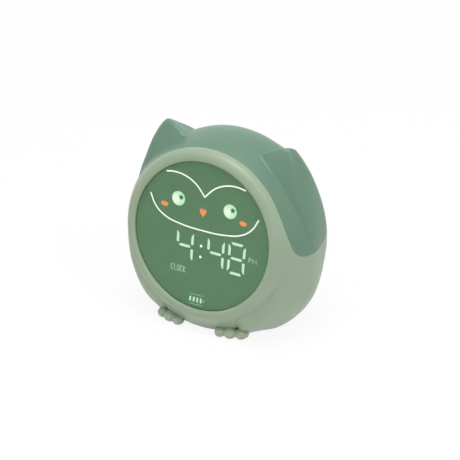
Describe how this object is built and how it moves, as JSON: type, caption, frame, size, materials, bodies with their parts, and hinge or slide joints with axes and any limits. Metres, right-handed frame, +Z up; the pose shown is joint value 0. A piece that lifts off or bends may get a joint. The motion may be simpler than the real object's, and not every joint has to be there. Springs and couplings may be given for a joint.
{
  "type": "kids alarm clock with night light",
  "caption": "Owl-shaped bedside alarm clock with a lit round face, a glowing crown with ear tufts and rear buttons.",
  "frame": {"origin": "on the surface the clock stands on, under the middle of its outline", "axes": "+Z up; the screen faces -Y and leans back 8.5 degrees; +X is to the right of someone facing the screen"},
  "size_m": [0.1342, 0.0909, 0.1282],
  "materials": {
    "housing": "soft-touch satin, sage green",
    "shade": "soft satin silicone-like, grey teal green, passes light from inside",
    "lens": "smooth clear tinted sheet",
    "green_film": "printed green diffusing film",
    "mask_black": "printed black film",
    "tape": "thin foam tape",
    "white_plastic": "white reflective moulding",
    "board": "green solder mask",
    "strip": "white flexible circuit",
    "led": "LED packages",
    "foot": "satin, sage green",
    "button": "soft matt",
    "plunger": "black",
    "black_plastic": "black moulding",
    "knob": "dark green",
    "steel": "zinc plated",
    "nickel": "nickel strip",
    "magnet": "plated",
    "cone": "black speaker paper",
    "foam": "foam ring",
    "pad": "grippy matt",
    "cell": "shrink sleeve",
    "wire": "insulated lead",
    "plug": "cream connector housing"
  },
  "bodies": {
    "clock": {"battery_cell": "cell", "battery_cradle": "black_plastic", "battery_lead": "wire", "battery_tabs": "nickel", "board_plugs": "plug", "clock_chip": "black_plastic", "diffuser_film": "green_film", "display_board": "board", "display_lead": "wire", "display_leds": "led", "display_plug": "plug", "front_housing": "housing", "lamp_lead": "wire", "lamp_leds": "led", "lamp_reflector": "white_plastic", "lamp_strip": "strip", "left_foot": "foot", "lens_tape": "tape", "light_shield": "white_plastic", "main_board": "board", "mask_film": "mask_black", "night_light_shade": "shade", "rear_cover": "housing", "rear_pads": "pad", "right_foot": "foot", "screen_lens": "lens", "screws": "steel", "short_screws": "steel", "slide_case": "black_plastic", "speaker_cone": "cone", "speaker_frame": "black_plastic", "speaker_gasket": "foam", "speaker_lead": "wire", "speaker_magnet": "magnet", "tact_switches": "black_plastic", "usb_socket": "steel"},
    "button_alarm": {"button_alarm": "button", "plunger_alarm": "plunger"},
    "button_light": {"button_light": "button", "plunger_light": "plunger"},
    "button_sound": {"button_sound": "button", "plunger_sound": "plunger"},
    "button_down": {"button_down": "button", "plunger_down": "plunger"},
    "button_set": {"button_set": "button", "plunger_set": "plunger"},
    "button_up": {"button_up": "button", "plunger_up": "plunger"},
    "power_slide": {"slide_knob": "knob"}
  },
  "joints": [
    {"name": "alarm_press", "type": "slide", "parent": "clock", "child": "button_alarm", "axis": [0, -0.989, 0.1478], "range_m": [0, 0.0008], "stiffness_N_per_m": 1200, "springref_m": -0.0008},
    {"name": "light_press", "type": "slide", "parent": "clock", "child": "button_light", "axis": [0, -0.989, 0.1478], "range_m": [0, 0.0008], "stiffness_N_per_m": 1200, "springref_m": -0.0008},
    {"name": "sound_press", "type": "slide", "parent": "clock", "child": "button_sound", "axis": [0, -0.989, 0.1478], "range_m": [0, 0.0008], "stiffness_N_per_m": 1200, "springref_m": -0.0008},
    {"name": "down_press", "type": "slide", "parent": "clock", "child": "button_down", "axis": [0, -0.989, 0.1478], "range_m": [0, 0.0008], "stiffness_N_per_m": 1200, "springref_m": -0.0008},
    {"name": "set_press", "type": "slide", "parent": "clock", "child": "button_set", "axis": [0, -0.989, 0.1478], "range_m": [0, 0.0008], "stiffness_N_per_m": 1200, "springref_m": -0.0008},
    {"name": "up_press", "type": "slide", "parent": "clock", "child": "button_up", "axis": [0, -0.989, 0.1478], "range_m": [0, 0.0008], "stiffness_N_per_m": 1200, "springref_m": -0.0008},
    {"name": "power_slide", "type": "slide", "parent": "clock", "child": "power_slide", "axis": [1, 0, 0], "range_m": [0, 0.003]}
  ]
}
